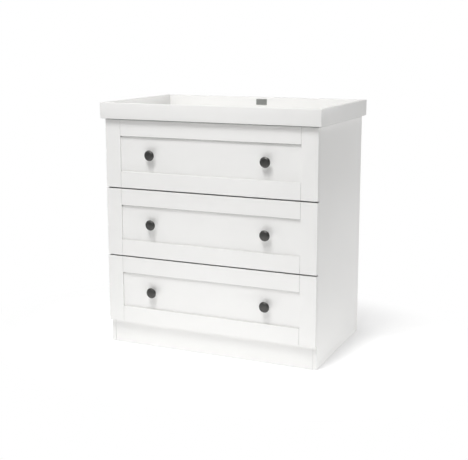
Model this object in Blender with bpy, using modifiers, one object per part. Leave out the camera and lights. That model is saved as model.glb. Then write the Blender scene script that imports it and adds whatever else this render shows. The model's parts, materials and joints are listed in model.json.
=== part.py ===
"""A white changing table: a three-drawer dresser with a raised changing tray on top.

Metres, +Z up. X runs across the width, and the drawers face -Y. The floor is z = 0, and the origin is
under the middle of the object. Depths are measured back from the drawer faces, and a drawer's pieces
are placed from an empty at the foot of its face, so that the empty slides along the drawer's axis.
"""

import math

import bmesh
import bpy
from mathutils import Vector

# Driving dimensions.
CARCASS_WIDTH = 0.920
CARCASS_TOP = 0.9530  # the top panel's upper face, on which the tray rests
CARCASS_BACK = 0.575
BOARD = 0.016  # side, top, bottom and tray boards
THIN_BOARD = 0.004  # back panel and drawer bases
FIT = 0.0003  # gap between two pieces that touch
EDGE = 0.0010  # rounding of a board's edges

# Changing tray.
TRAY_OVERHANG = 0.016  # past the carcass, on the left and right
TRAY_FRONT = -0.015
TRAY_BACK = 0.585
TRAY_HEIGHT = 0.0655
TRAY_BASE = 0.008
PLATE_SIZE = (0.050, 0.0012, 0.025)
PLATE_CORNER = 0.002
PLATE_DROP = 0.021  # from the tray's top edge to the middle of the plate
BRACKET_STEEL = 0.002
BRACKET_WIDTH = 0.030
BRACKET_X = 0.300
BRACKET_UP = 0.034
BRACKET_DOWN = 0.014

# Plinth.
PLINTH_HEIGHT = 0.0965
PLINTH_RECESS = 0.001  # the kickboard lies this far behind the side panels' front edges
STRETCHER_BACK = 0.550
BACK_SETBACK = 0.010  # from the back panel to the side panels' rear edges
GROOVE = 0.006

# Drawer fronts.
FIRST_FRONT = 0.0980  # the lower edge of the bottom drawer
FRONT_HEIGHT = 0.281
FRONT_GAP = 0.005
FRONT_THICK = 0.018
FRONT_BEHIND = 0.001  # from the fronts to the carcass
STILE = 0.068
RAIL = 0.0675
RECESS = 0.007  # from the frame's face to the panel's face
PANEL = 0.006
TONGUE = 0.008
DRAWERS = ("bottom_drawer", "middle_drawer", "top_drawer")

# Drawer boxes.
BOX_WALL = 0.012
BOX_LOW = 0.022
BOX_HIGH = 0.212
BOX_BACK = 0.496
BASE_Z = 0.034
BASE_GROOVE = 0.005

# Knobs, with each radius at its height over the panel.
KNOB_X = 0.251
KNOB_RADIUS = 0.0217
KNOB_REACH = 0.027
KNOB_FOOT = 0.0092
KNOB_NECK = 0.0062
KNOB_HOLE = 0.0025
KNOB_DISC = 0.0143  # the slightly domed disc in the middle of the face
KNOB_STEPS = 20

# Runners: a channel on the side panel, and a rail inside it on the drawer.
RUNNER_SPACE = 0.0135  # from a side panel to the drawer box
RUNNER_STEEL = 0.0012
RUNNER_LENGTH = 0.450
RUNNER_FRONT = 0.024
RUNNER_Z = 0.105
CHANNEL_HEIGHT = 0.0355
CHANNEL_DEPTH = 0.0100
SLIDER_HEIGHT = 0.0265
SLIDER_DEPTH = 0.0108

# Places that follow from the dimensions above.
CARCASS_FRONT = FRONT_THICK + FRONT_BEHIND
OUTSIDE = CARCASS_WIDTH / 2
INSIDE = OUTSIDE - BOARD
BOX_OUTSIDE = INSIDE - RUNNER_SPACE
BOX_INSIDE = BOX_OUTSIDE - BOX_WALL
BACK_PANEL_REAR = CARCASS_BACK - BACK_SETBACK
BACK_PANEL_FRONT = BACK_PANEL_REAR - THIN_BOARD
TRAY_SIDE = OUTSIDE + TRAY_OVERHANG
TRAY_LOW = CARCASS_TOP + FIT
TRAY_TOP = CARCASS_TOP + TRAY_HEIGHT
KNOB_TIP = RECESS - FIT - KNOB_REACH
REARMOST = TRAY_BACK + FIT + BRACKET_STEEL
FACE_Y = -(KNOB_TIP + REARMOST) / 2  # puts the origin under the middle of the object's box

MODEL = "changing_table"
CUTTERS = "changing_table_cutters"


def fresh_scene():
    """Empties the scene, and adds one collection for the pieces and one for their cutters."""
    for found in list(bpy.data.objects):
        bpy.data.objects.remove(found)
    for name in (MODEL, CUTTERS):
        bpy.context.scene.collection.children.link(bpy.data.collections.new(name))


def finish(name, colour, roughness, metallic=0.0):
    """A Principled BSDF material."""
    material = bpy.data.materials.new(name)
    material.use_nodes = True
    shader = material.node_tree.nodes["Principled BSDF"]
    shader.inputs["Base Color"].default_value = (*colour, 1.0)
    shader.inputs["Roughness"].default_value = roughness
    shader.inputs["Metallic"].default_value = metallic
    return material


def place(name, data, where, parent, collection=MODEL, material=None):
    """A new object at a place that is measured from its parent."""
    piece = bpy.data.objects.new(name, data)
    bpy.data.collections[collection].objects.link(piece)
    piece.location = where
    piece.parent = parent
    if material:
        data.materials.append(material)
    return piece


def block_mesh(name, low, high):
    """A box's mesh, centred on its own origin, at its real size."""
    mesh = bpy.data.meshes.new(name)
    shape = bmesh.new()
    bmesh.ops.create_cube(shape, size=1.0)
    bmesh.ops.scale(shape, vec=Vector(high) - Vector(low), verts=shape.verts)
    shape.to_mesh(mesh)
    shape.free()
    return mesh


def rounded_block(name, low, high, axis, radius, segments):
    """A box's mesh with its four edges along one axis rounded."""
    mesh = block_mesh(name, low, high)
    along = Vector(axis)
    shape = bmesh.new()
    shape.from_mesh(mesh)
    edges = [
        edge
        for edge in shape.edges
        if abs((edge.verts[0].co - edge.verts[1].co).normalized().dot(along)) > 0.5
    ]
    bmesh.ops.bevel(
        shape,
        geom=edges,
        offset=radius,
        segments=segments,
        profile=0.5,
        affect="EDGES",
        material=-1,
    )
    shape.to_mesh(mesh)
    shape.free()
    return mesh


def middle(low, high):
    return (Vector(low) + Vector(high)) / 2


def board(name, low, high, material, parent, segments=1):
    """A board with lightly rounded edges, between two corners."""
    piece = place(name, block_mesh(name, low, high), middle(low, high), parent, material=material)
    edge = piece.modifiers.new("edge", "BEVEL")
    edge.width = EDGE
    edge.segments = segments
    return piece


def join_or_cut(piece, low, high, operation):
    """Joins a block to a piece, or cuts it away. The corners are measured from the piece's parent."""
    name = f"{piece.name}_{operation.lower()}_{len(piece.modifiers)}"
    tool = place(name, block_mesh(name, low, high), middle(low, high), piece.parent, CUTTERS)
    use_tool(piece, tool, operation)


def use_tool(piece, tool, operation):
    """Hides a cutter or helper and gives the piece the Boolean that uses it."""
    tool.hide_render = True
    tool.display_type = "WIRE"
    boolean = piece.modifiers.new(tool.name, "BOOLEAN")
    boolean.operation = operation
    boolean.object = tool


def groove(piece, low, high):
    join_or_cut(piece, low, high, "DIFFERENCE")


def outline_solid(name, points, length, material, parent, where, turn):
    """A flat outline made into a bar: its own Z is the bar's length."""
    curve = bpy.data.curves.new(name, "CURVE")
    curve.dimensions = "2D"
    curve.fill_mode = "BOTH"
    curve.extrude = length / 2
    line = curve.splines.new("POLY")
    line.points.add(len(points) - 1)
    for point, (x, y) in zip(line.points, points):
        point.co = (x, y, 0.0, 1.0)
    line.use_cyclic_u = True
    piece = place(name, curve, where, parent, material=material)
    piece.rotation_euler = turn
    return piece


def channel_outline(depth, height, steel, side):
    """A C of sheet steel. Its web is at 0, and its flanges reach towards the given side."""
    half = height / 2
    deep = side * depth
    web = side * steel
    return [
        (0.0, -half),
        (deep, -half),
        (deep, steel - half),
        (web, steel - half),
        (web, half - steel),
        (deep, half - steel),
        (deep, half),
        (0.0, half),
    ]


def arc(centre, radius, start, stop, steps):
    """Points on a circle, from one angle to another, in degrees."""
    angles = [math.radians(start + (stop - start) * n / steps) for n in range(steps + 1)]
    return [(centre[0] + radius * math.cos(a), centre[1] + radius * math.sin(a)) for a in angles]


def knob_profile():
    """Radius and height: down from the domed disc, over the sloping rim, under it and down the neck."""
    rim = 0.0020
    rim_centre = (KNOB_RADIUS - rim, KNOB_REACH - 0.0070)
    disc_rise = 0.0009
    disc_step = 0.0010
    disc_edge = KNOB_REACH - disc_rise
    steps = 3
    disc = [
        (KNOB_DISC * n / steps, disc_edge + disc_rise * (1 - (n / steps) ** 2))
        for n in range(steps + 1)
    ]
    step = [(KNOB_DISC + disc_step, disc_edge - disc_step)]
    edge = arc(rim_centre, rim, 65, -70, 3)
    under = arc((KNOB_NECK + 0.0085, 0.0095), 0.0085, 130, 200, 3)
    foot = [(KNOB_FOOT, 0.0022), (KNOB_FOOT, 0.0), (0.0, 0.0)]
    return disc + step + edge + under + foot


def turned(name, profile, material, parent, where):
    """A turned piece whose axis points forwards, out of the drawer's face."""
    mesh = bpy.data.meshes.new(name)
    shape = bmesh.new()
    points = [shape.verts.new((radius, 0.0, height)) for radius, height in profile]
    for first, second in zip(points, points[1:]):
        shape.edges.new((first, second))
    shape.to_mesh(mesh)
    shape.free()
    piece = place(name, mesh, where, parent, material=material)
    piece.rotation_euler = (math.radians(90), 0.0, 0.0)
    spin = piece.modifiers.new("turn", "SCREW")
    spin.steps = KNOB_STEPS
    spin.render_steps = KNOB_STEPS
    spin.use_merge_vertices = True
    spin.merge_threshold = 0.00001
    return piece


def make_carcass(white, hardboard, root):
    """Side panels, top, bottom, back, kickboard and rear stretcher."""
    for side, name in ((-1, "side_panel_left"), (1, "side_panel_right")):
        across = sorted((side * OUTSIDE, side * INSIDE))
        low = (across[0], CARCASS_FRONT, 0.0)
        high = (across[1], CARCASS_BACK, CARCASS_TOP)
        panel = board(name, low, high, white, root, segments=2)
        cut = sorted((side * (INSIDE + GROOVE), side * (INSIDE - GROOVE)))
        groove(
            panel,
            (cut[0], BACK_PANEL_FRONT - FIT, PLINTH_HEIGHT),
            (cut[1], BACK_PANEL_REAR + FIT, CARCASS_TOP + BOARD),
        )

    half = INSIDE - FIT
    top = board(
        "top_panel",
        (-half, CARCASS_FRONT, CARCASS_TOP - BOARD),
        (half, CARCASS_BACK, CARCASS_TOP),
        white,
        root,
    )
    groove(
        top,
        (-half - GROOVE, BACK_PANEL_FRONT - FIT, CARCASS_TOP - BOARD - GROOVE),
        (half + GROOVE, BACK_PANEL_REAR + FIT, CARCASS_TOP - BOARD + GROOVE),
    )
    bottom_low = PLINTH_HEIGHT + FIT
    board(
        "bottom_panel",
        (-half, CARCASS_FRONT, bottom_low),
        (half, BACK_PANEL_FRONT - FIT, bottom_low + BOARD),
        white,
        root,
    )
    board(
        "back_panel",
        (-INSIDE - GROOVE + FIT, BACK_PANEL_FRONT, bottom_low),
        (INSIDE + GROOVE - FIT, BACK_PANEL_REAR, CARCASS_TOP - BOARD + GROOVE - FIT),
        hardboard,
        root,
    )
    kick_front = CARCASS_FRONT + PLINTH_RECESS
    board(
        "kickboard",
        (-half, kick_front, 0.0),
        (half, kick_front + BOARD, PLINTH_HEIGHT),
        white,
        root,
        segments=2,
    )
    board(
        "rear_stretcher",
        (-half, STRETCHER_BACK - BOARD, 0.0),
        (half, STRETCHER_BACK, PLINTH_HEIGHT),
        white,
        root,
    )


def mitred_board(name, low, high, inwards, material, parent):
    """A tray board with mitred ends. Inwards points from its outer face to the tray's middle."""
    inwards = Vector(inwards)
    along = Vector((abs(inwards.y), abs(inwards.x), 0.0))
    mesh = rounded_block(name, low, high, along, EDGE, 2)
    for vertex in mesh.vertices:
        depth = vertex.co.dot(inwards) + BOARD / 2
        vertex.co -= along * math.copysign(depth, vertex.co.dot(along))
    return place(name, mesh, middle(low, high), parent, material=material)


def make_tray(white, root):
    """Four boards, mitred at the corners, round a base."""
    inner_front = TRAY_FRONT + BOARD
    inner_back = TRAY_BACK - BOARD
    inner_side = TRAY_SIDE - BOARD
    gap = 1.5 * FIT  # moves a mitre far enough to leave FIT between its faces
    # Each board's outer face, its inner face, and the direction from one to the other.
    for name, outer, inner, facing in (
        ("tray_front_board", TRAY_FRONT, inner_front, 1),
        ("tray_rear_board", TRAY_BACK, inner_back, -1),
    ):
        low = (-TRAY_SIDE, min(outer, inner), TRAY_LOW)
        high = (TRAY_SIDE, max(outer, inner), TRAY_TOP)
        mitred_board(name, low, high, (0.0, facing, 0.0), white, root)
    for name, outer, inner, facing in (
        ("tray_left_board", -TRAY_SIDE, -inner_side, 1),
        ("tray_right_board", TRAY_SIDE, inner_side, -1),
    ):
        low = (min(outer, inner), TRAY_FRONT + gap, TRAY_LOW)
        high = (max(outer, inner), TRAY_BACK - gap, TRAY_TOP)
        mitred_board(name, low, high, (facing, 0.0, 0.0), white, root)
    board(
        "tray_base",
        (-inner_side + FIT, inner_front + FIT, TRAY_LOW),
        (inner_side - FIT, inner_back - FIT, TRAY_LOW + TRAY_BASE),
        white,
        root,
    )


def make_plate(steel, root):
    """A small blank plate on the inner face of the tray's rear board."""
    half = Vector(PLATE_SIZE) / 2
    mesh = rounded_block("name_plate", -half, half, (0.0, 1.0, 0.0), PLATE_CORNER, 4)
    where = (0.0, TRAY_BACK - BOARD - FIT - half.y, TRAY_TOP - PLATE_DROP)
    place("name_plate", mesh, where, root, material=steel)


def make_brackets(steel, root):
    """Two stepped steel straps that hold the tray's rear board to the top panel's rear edge."""
    low = CARCASS_TOP - BRACKET_DOWN
    high = CARCASS_TOP + BRACKET_UP
    near = CARCASS_BACK + FIT
    far = TRAY_BACK + FIT
    step = CARCASS_TOP - BRACKET_STEEL
    # Depth and height round the strap's section.
    section = [
        (near, low),
        (near + BRACKET_STEEL, low),
        (near + BRACKET_STEEL, step),
        (far + BRACKET_STEEL, step),
        (far + BRACKET_STEEL, high),
        (far, high),
        (far, CARCASS_TOP),
        (near, CARCASS_TOP),
    ]
    turn = (math.radians(90), 0.0, math.radians(90))
    for side, name in ((-1, "tray_bracket_left"), (1, "tray_bracket_right")):
        where = (side * BRACKET_X, 0.0, 0.0)
        outline_solid(name, section, BRACKET_WIDTH, steel, root, where, turn)


def make_front(drawer, white, parent):
    """A drawer front: two stiles, two rails between them, and a panel in their grooves."""
    inner = OUTSIDE - STILE
    slot_front = RECESS - FIT
    slot_back = RECESS + PANEL + FIT
    base_low = BASE_Z - FIT
    base_high = BASE_Z + THIN_BOARD + FIT
    base_reach = BOX_INSIDE + BASE_GROOVE + FIT
    base_slot_low = (-base_reach, FRONT_THICK - BASE_GROOVE, base_low)
    base_slot_high = (base_reach, FRONT_THICK + BASE_GROOVE, base_high)

    for side, hand in ((-1, "left"), (1, "right")):
        across = sorted((side * OUTSIDE, side * inner))
        low = (across[0], 0.0, 0.0)
        high = (across[1], FRONT_THICK, FRONT_HEIGHT)
        stile = board(f"{drawer}_stile_{hand}", low, high, white, parent, segments=2)
        cut = sorted((side * (inner - TONGUE), side * (inner + TONGUE)))
        groove(stile, (cut[0], slot_front, -RAIL), (cut[1], slot_back, FRONT_HEIGHT + RAIL))
        groove(stile, base_slot_low, base_slot_high)

    rail_half = inner - FIT
    tongue_half = inner + TONGUE - FIT
    rails = (
        ("lower", 0.0, RAIL, RAIL - TONGUE, RAIL + TONGUE),
        (
            "upper",
            FRONT_HEIGHT - RAIL,
            FRONT_HEIGHT,
            FRONT_HEIGHT - RAIL - TONGUE,
            FRONT_HEIGHT - RAIL + TONGUE,
        ),
    )
    for level, low_z, high_z, cut_low, cut_high in rails:
        low = (-rail_half, 0.0, low_z)
        high = (rail_half, FRONT_THICK, high_z)
        rail = board(f"{drawer}_rail_{level}", low, high, white, parent, segments=2)
        join_or_cut(
            rail,
            (-tongue_half, RECESS, low_z + 2 * EDGE),
            (tongue_half, RECESS + PANEL, high_z - 2 * EDGE),
            "UNION",
        )
        groove(rail, (-OUTSIDE, slot_front, cut_low), (OUTSIDE, slot_back, cut_high))
        if level == "lower":
            groove(rail, base_slot_low, base_slot_high)

    panel_low = (-tongue_half, RECESS, RAIL - TONGUE + FIT)
    panel_high = (tongue_half, RECESS + PANEL, FRONT_HEIGHT - RAIL + TONGUE - FIT)
    name = f"{drawer}_panel"
    where = middle(panel_low, panel_high)
    panel = place(name, block_mesh(name, panel_low, panel_high), where, parent, material=white)
    for side, hand in ((-1, "left"), (1, "right")):
        bpy.ops.mesh.primitive_cylinder_add(vertices=16, radius=KNOB_HOLE, depth=FRONT_THICK)
        drill = bpy.context.object
        drill.name = f"{drawer}_drill_{hand}"
        for used in list(drill.users_collection):
            used.objects.unlink(drill)
        bpy.data.collections[CUTTERS].objects.link(drill)
        drill.parent = parent
        drill.location = (side * KNOB_X, RECESS + PANEL / 2, FRONT_HEIGHT / 2)
        drill.rotation_euler = (math.radians(90), 0.0, 0.0)
        use_tool(panel, drill, "DIFFERENCE")


def make_box(drawer, white, hardboard, parent):
    """A drawer box: two sides, a back that stands on the base, and the base in their grooves."""
    front = FRONT_THICK + FIT
    base_low = BASE_Z - FIT
    base_high = BASE_Z + THIN_BOARD + FIT
    for side, hand in ((-1, "left"), (1, "right")):
        across = sorted((side * BOX_OUTSIDE, side * BOX_INSIDE))
        low = (across[0], front, BOX_LOW)
        high = (across[1], BOX_BACK, BOX_HIGH)
        wall = board(f"{drawer}_box_{hand}", low, high, white, parent)
        cut = sorted((side * (BOX_INSIDE - BASE_GROOVE), side * (BOX_INSIDE + BASE_GROOVE)))
        groove(wall, (cut[0], 0.0, base_low), (cut[1], BOX_BACK + BOX_WALL, base_high))
    half = BOX_INSIDE - FIT
    board(
        f"{drawer}_box_back",
        (-half, BOX_BACK - BOX_WALL, base_high),
        (half, BOX_BACK, BOX_HIGH),
        white,
        parent,
    )
    reach = BOX_INSIDE + BASE_GROOVE - FIT
    low = (-reach, FRONT_THICK - BASE_GROOVE + FIT, BASE_Z)
    high = (reach, BOX_BACK, BASE_Z + THIN_BOARD)
    name = f"{drawer}_box_base"
    place(name, block_mesh(name, low, high), middle(low, high), parent, material=hardboard)


def make_runners(drawer, steel, parent, root):
    """For each side, a channel on the side panel and a rail on the drawer box, one inside the other."""
    turn = (math.radians(90), 0.0, 0.0)
    mid_y = RUNNER_FRONT + RUNNER_LENGTH / 2
    for side, hand in ((-1, "left"), (1, "right")):
        channel = channel_outline(CHANNEL_DEPTH, CHANNEL_HEIGHT, RUNNER_STEEL, -side)
        where = Vector((side * (INSIDE - FIT), mid_y, parent.location.z + RUNNER_Z))
        name = f"{drawer}_channel_{hand}"
        outline_solid(name, channel, RUNNER_LENGTH, steel, root, where, turn)
        slider = channel_outline(SLIDER_DEPTH, SLIDER_HEIGHT, RUNNER_STEEL, side)
        where = (side * (BOX_OUTSIDE + FIT), mid_y, RUNNER_Z)
        name = f"{drawer}_slider_{hand}"
        outline_solid(name, slider, RUNNER_LENGTH, steel, parent, where, turn)


def make_knobs(drawer, dark, parent):
    for side, hand in ((-1, "left"), (1, "right")):
        where = (side * KNOB_X, RECESS - FIT, FRONT_HEIGHT / 2)
        turned(f"{drawer}_knob_{hand}", knob_profile(), dark, parent, where)


def main():
    fresh_scene()
    white = finish("white_lacquer", (0.86, 0.86, 0.85), 0.45)
    hardboard = finish("white_hardboard", (0.80, 0.80, 0.79), 0.60)
    dark = finish("knob_metal", (0.045, 0.044, 0.043), 0.38, 0.85)
    steel = finish("zinc_steel", (0.62, 0.63, 0.65), 0.35, 1.0)
    plate = finish("plate_metal", (0.36, 0.37, 0.35), 0.45, 0.9)

    root = place("frame_origin", None, (0.0, FACE_Y, 0.0), None)
    make_carcass(white, hardboard, root)
    make_tray(white, root)
    make_plate(plate, root)
    make_brackets(steel, root)
    for level, drawer in enumerate(DRAWERS):
        foot = FIRST_FRONT + level * (FRONT_HEIGHT + FRONT_GAP)
        slide = place(f"{drawer}_slide", None, (0.0, 0.0, foot), root)
        make_front(drawer, white, slide)
        make_box(drawer, white, hardboard, slide)
        make_runners(drawer, steel, slide, root)
        make_knobs(drawer, dark, slide)


main()
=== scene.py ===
"""Looks for a white changing table: a three-drawer dresser with a raised-rim changing tray on top.

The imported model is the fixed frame. Its boards keep their shapes and take sprayed, melamine and metal
finishes. Round them are made the fine pieces: softly rounded tray boards, turned knobs with their screws,
ball cages and screws for the runners, cam locks, nails, bumpers and a bordered plate. Everything is in
metres, +Z up, with the drawers facing -Y.
"""

import json
import logging
import math
from collections.abc import Iterable
from dataclasses import dataclass, field
from enum import Enum

import bmesh
import bpy
from mathutils import Matrix, Vector


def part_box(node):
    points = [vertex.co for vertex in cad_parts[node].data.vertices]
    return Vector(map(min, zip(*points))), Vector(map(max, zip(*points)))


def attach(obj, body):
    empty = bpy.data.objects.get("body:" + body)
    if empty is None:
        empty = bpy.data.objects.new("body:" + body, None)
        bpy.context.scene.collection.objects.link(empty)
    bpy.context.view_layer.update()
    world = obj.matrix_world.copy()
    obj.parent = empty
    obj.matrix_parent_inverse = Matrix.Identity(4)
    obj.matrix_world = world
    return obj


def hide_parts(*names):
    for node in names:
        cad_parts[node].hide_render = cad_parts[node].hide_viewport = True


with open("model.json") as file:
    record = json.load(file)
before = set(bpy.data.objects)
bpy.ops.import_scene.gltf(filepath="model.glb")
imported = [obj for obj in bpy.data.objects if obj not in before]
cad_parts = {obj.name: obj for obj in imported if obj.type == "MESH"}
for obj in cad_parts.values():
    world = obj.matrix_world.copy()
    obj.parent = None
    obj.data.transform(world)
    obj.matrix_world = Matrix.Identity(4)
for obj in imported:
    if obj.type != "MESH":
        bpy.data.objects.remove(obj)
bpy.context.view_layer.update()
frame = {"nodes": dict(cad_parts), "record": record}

LOG = logging.getLogger("changing_table")
Profile = list[tuple[float, float]]
Point = tuple[float, float, float]
Colour = tuple[float, float, float]
Box = tuple[Vector, Vector]
SHARP_DEGREES = 32.0
SAME_PLACE = 1e-6


class Body(Enum):
    """The bodies that pieces ride on, from the floor up."""

    CABINET = "cabinet"
    BOTTOM_DRAWER = "bottom_drawer"
    MIDDLE_DRAWER = "middle_drawer"
    TOP_DRAWER = "top_drawer"


class Side(Enum):
    """Left and right as seen from the front, with the sign of X."""

    LEFT = -1
    RIGHT = 1

    @property
    def word(self) -> str:
        """The side's name as node names spell it."""
        return self.name.lower()

    def outer(self, box: Box) -> float:
        """The X of a box's face that looks away from the middle of the object."""
        return box[1].x if self is Side.RIGHT else box[0].x

    def inner(self, box: Box) -> float:
        """The X of a box's face that looks towards the middle of the object."""
        return box[0].x if self is Side.RIGHT else box[1].x


class Slot(Enum):
    """The record's material slots."""

    CABINET = "cabinet_board"
    TRAY = "tray_board"
    FRONT = "drawer_front"
    BOX = "drawer_box"
    HARDBOARD = "hardboard"
    KNOB = "knob"
    STEEL = "zinc_steel"
    PLATE = "plate"


class Facing(Enum):
    """The way that a turned or fastened piece's axis points."""

    FORWARDS = (0.0, -1.0, 0.0)
    BACKWARDS = (0.0, 1.0, 0.0)
    LEFT = (-1.0, 0.0, 0.0)
    RIGHT = (1.0, 0.0, 0.0)

    @property
    def turn(self) -> Matrix:
        """The rotation that takes +Z to this direction."""
        return Vector(self.value).to_track_quat("Z", "Y").to_matrix().to_4x4()

    @classmethod
    def across(cls, side: Side, outwards: bool) -> "Facing":
        """Away from the middle of the object on one side, or towards it."""
        return cls.RIGHT if (side is Side.RIGHT) == outwards else cls.LEFT


DRAWER_BODIES = (Body.BOTTOM_DRAWER, Body.MIDDLE_DRAWER, Body.TOP_DRAWER)


# ---------------------------------------------------------------------------------------------------
# Material nodes and shared effects
# ---------------------------------------------------------------------------------------------------


class Wiring:
    """Adds nodes to one node tree and joins them."""

    def __init__(self, tree: bpy.types.NodeTree) -> None:
        """Takes the tree that the nodes go in.

        Args:
            tree: A material's, a world's or a group's node tree.
        """
        self.tree = tree

    def set(self, socket: bpy.types.NodeSocket, value: object) -> None:
        """Joins another node's output to a socket, or sets the socket's own value.

        Args:
            socket: The socket that takes the value.
            value: An output socket, a number, a vector or a colour.
        """
        if isinstance(value, bpy.types.NodeSocket):
            self.tree.links.new(value, socket)
        else:
            socket.default_value = value

    def node(self, kind: str, inputs: dict | None = None, **settings: object) -> bpy.types.Node:
        """Adds one node.

        Args:
            kind: The node's type, such as ShaderNodeTexNoise.
            inputs: Values or other nodes' output sockets, by this node's socket name or number.
            settings: The node's own properties.

        Returns:
            The new node.
        """
        made = self.tree.nodes.new(kind)
        for name, value in settings.items():
            setattr(made, name, value)
        self.fill(made.inputs, inputs or {})
        return made

    def math(self, operation: str, first: object, second: object = 0.0) -> bpy.types.NodeSocket:
        """Adds a Math node on two values or sockets, and returns its output."""
        return self.node("ShaderNodeMath", {0: first, 1: second}, operation=operation).outputs[0]

    def vector(self, operation: str, *values: object, output: str = "Vector") -> bpy.types.NodeSocket:
        """Adds a Vector Math node on some vectors, and returns one of its outputs."""
        return self.node("ShaderNodeVectorMath", dict(enumerate(values)), operation=operation).outputs[output]

    def noise(self, place: object, scale: object, detail: float) -> bpy.types.NodeSocket:
        """Adds a Noise Texture node, and returns its height."""
        inputs = {"Vector": place, "Scale": scale, "Detail": detail}
        return self.node("ShaderNodeTexNoise", inputs).outputs["Fac"]

    def normal(self) -> bpy.types.NodeSocket:
        """The surface's own normal."""
        return self.node("ShaderNodeNewGeometry").outputs["Normal"]

    def bump(self, height: object, distance: float) -> bpy.types.NodeSocket:
        """Adds a Bump node, and returns its normal."""
        return self.node("ShaderNodeBump", {"Height": height, "Distance": distance}).outputs["Normal"]

    def fill(self, sockets: bpy.types.NodeInputs, values: dict) -> None:
        """Sets or joins some of a node's sockets, by their names or numbers."""
        for name, value in values.items():
            self.set(sockets[name], value)

    def rescale(
        self,
        value: bpy.types.NodeSocket,
        source: tuple[float, float] = (0.0, 1.0),
        target: tuple[float, float] = (0.0, 1.0),
        curve: str = "LINEAR",
    ) -> bpy.types.NodeSocket:
        """Maps one range onto another and stops at its ends.

        Args:
            value: The value to map.
            source: The two values that go to the ends of the target.
            target: The ends of the result.
            curve: LINEAR or SMOOTHSTEP.

        Returns:
            The mapped value.
        """
        ends = {"From Min": source[0], "From Max": source[1], "To Min": target[0], "To Max": target[1]}
        made = self.node("ShaderNodeMapRange", {"Value": value, **ends}, interpolation_type=curve)
        return made.outputs["Result"]

    def mix(self, factor: object, first: object, second: object) -> bpy.types.NodeSocket:
        """Mixes two colours by a mask.

        Args:
            factor: The second colour's share.
            first: The colour where the mask is 0.
            second: The colour where the mask is 1.

        Returns:
            The mixed colour.
        """
        made = self.node("ShaderNodeMix", data_type="RGBA")
        for name, value in (("Factor", factor), ("A", first), ("B", second)):
            # A Mix node has a socket of each name for every kind of data: only this kind's is enabled.
            socket = next(s for s in made.inputs if s.name == name and s.enabled)
            self.set(socket, value)
        return next(s for s in made.outputs if s.enabled)

    def place(self, stretch: Point | None = None) -> bpy.types.NodeSocket:
        """Adds Object coordinates, finer along each axis by a stretch where one is given.

        Args:
            stretch: How many times finer a pattern gets along X, Y and Z.

        Returns:
            The coordinates.
        """
        start = self.node("ShaderNodeTexCoord").outputs["Object"]
        if stretch is None:
            return start
        return self.node("ShaderNodeMapping", {"Vector": start, "Scale": stretch}).outputs["Vector"]


@dataclass
class EffectGroup:
    """A shader node group that is built once and placed in many materials."""

    name: str
    inputs: dict[str, float | None]
    output: str
    tree: bpy.types.NodeTree = field(init=False)
    wiring: Wiring = field(init=False)
    given: bpy.types.NodeOutputs = field(init=False)
    taken: bpy.types.NodeInputs = field(init=False)

    def __post_init__(self) -> None:
        """Makes the group's tree with its named sockets. An input with no number is a vector."""
        self.tree = bpy.data.node_groups.new(self.name, "ShaderNodeTree")
        self.wiring = Wiring(self.tree)
        for name, default in self.inputs.items():
            kind = "NodeSocketVector" if default is None else "NodeSocketFloat"
            socket = self.tree.interface.new_socket(name, in_out="INPUT", socket_type=kind)
            if default is not None:
                socket.default_value = default
        self.tree.interface.new_socket(self.output, in_out="OUTPUT", socket_type="NodeSocketFloat")
        self.given = self.wiring.node("NodeGroupInput").outputs
        self.taken = self.wiring.node("NodeGroupOutput").inputs

    def give(self, value: bpy.types.NodeSocket) -> "EffectGroup":
        """Joins a value to the group's output, which finishes the group."""
        self.tree.links.new(value, self.taken[self.output])
        return self

    def use(self, wiring: Wiring, **inputs: object) -> bpy.types.NodeSocket:
        """Places the group in a material.

        Args:
            wiring: The material's wiring.
            inputs: The group's inputs, with underscores for the spaces in their names.

        Returns:
            The group's output.
        """
        made = wiring.node("ShaderNodeGroup", node_tree=self.tree)
        wiring.fill(made.inputs, {name.replace("_", " "): value for name, value in inputs.items()})
        return made.outputs[self.output]


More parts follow.
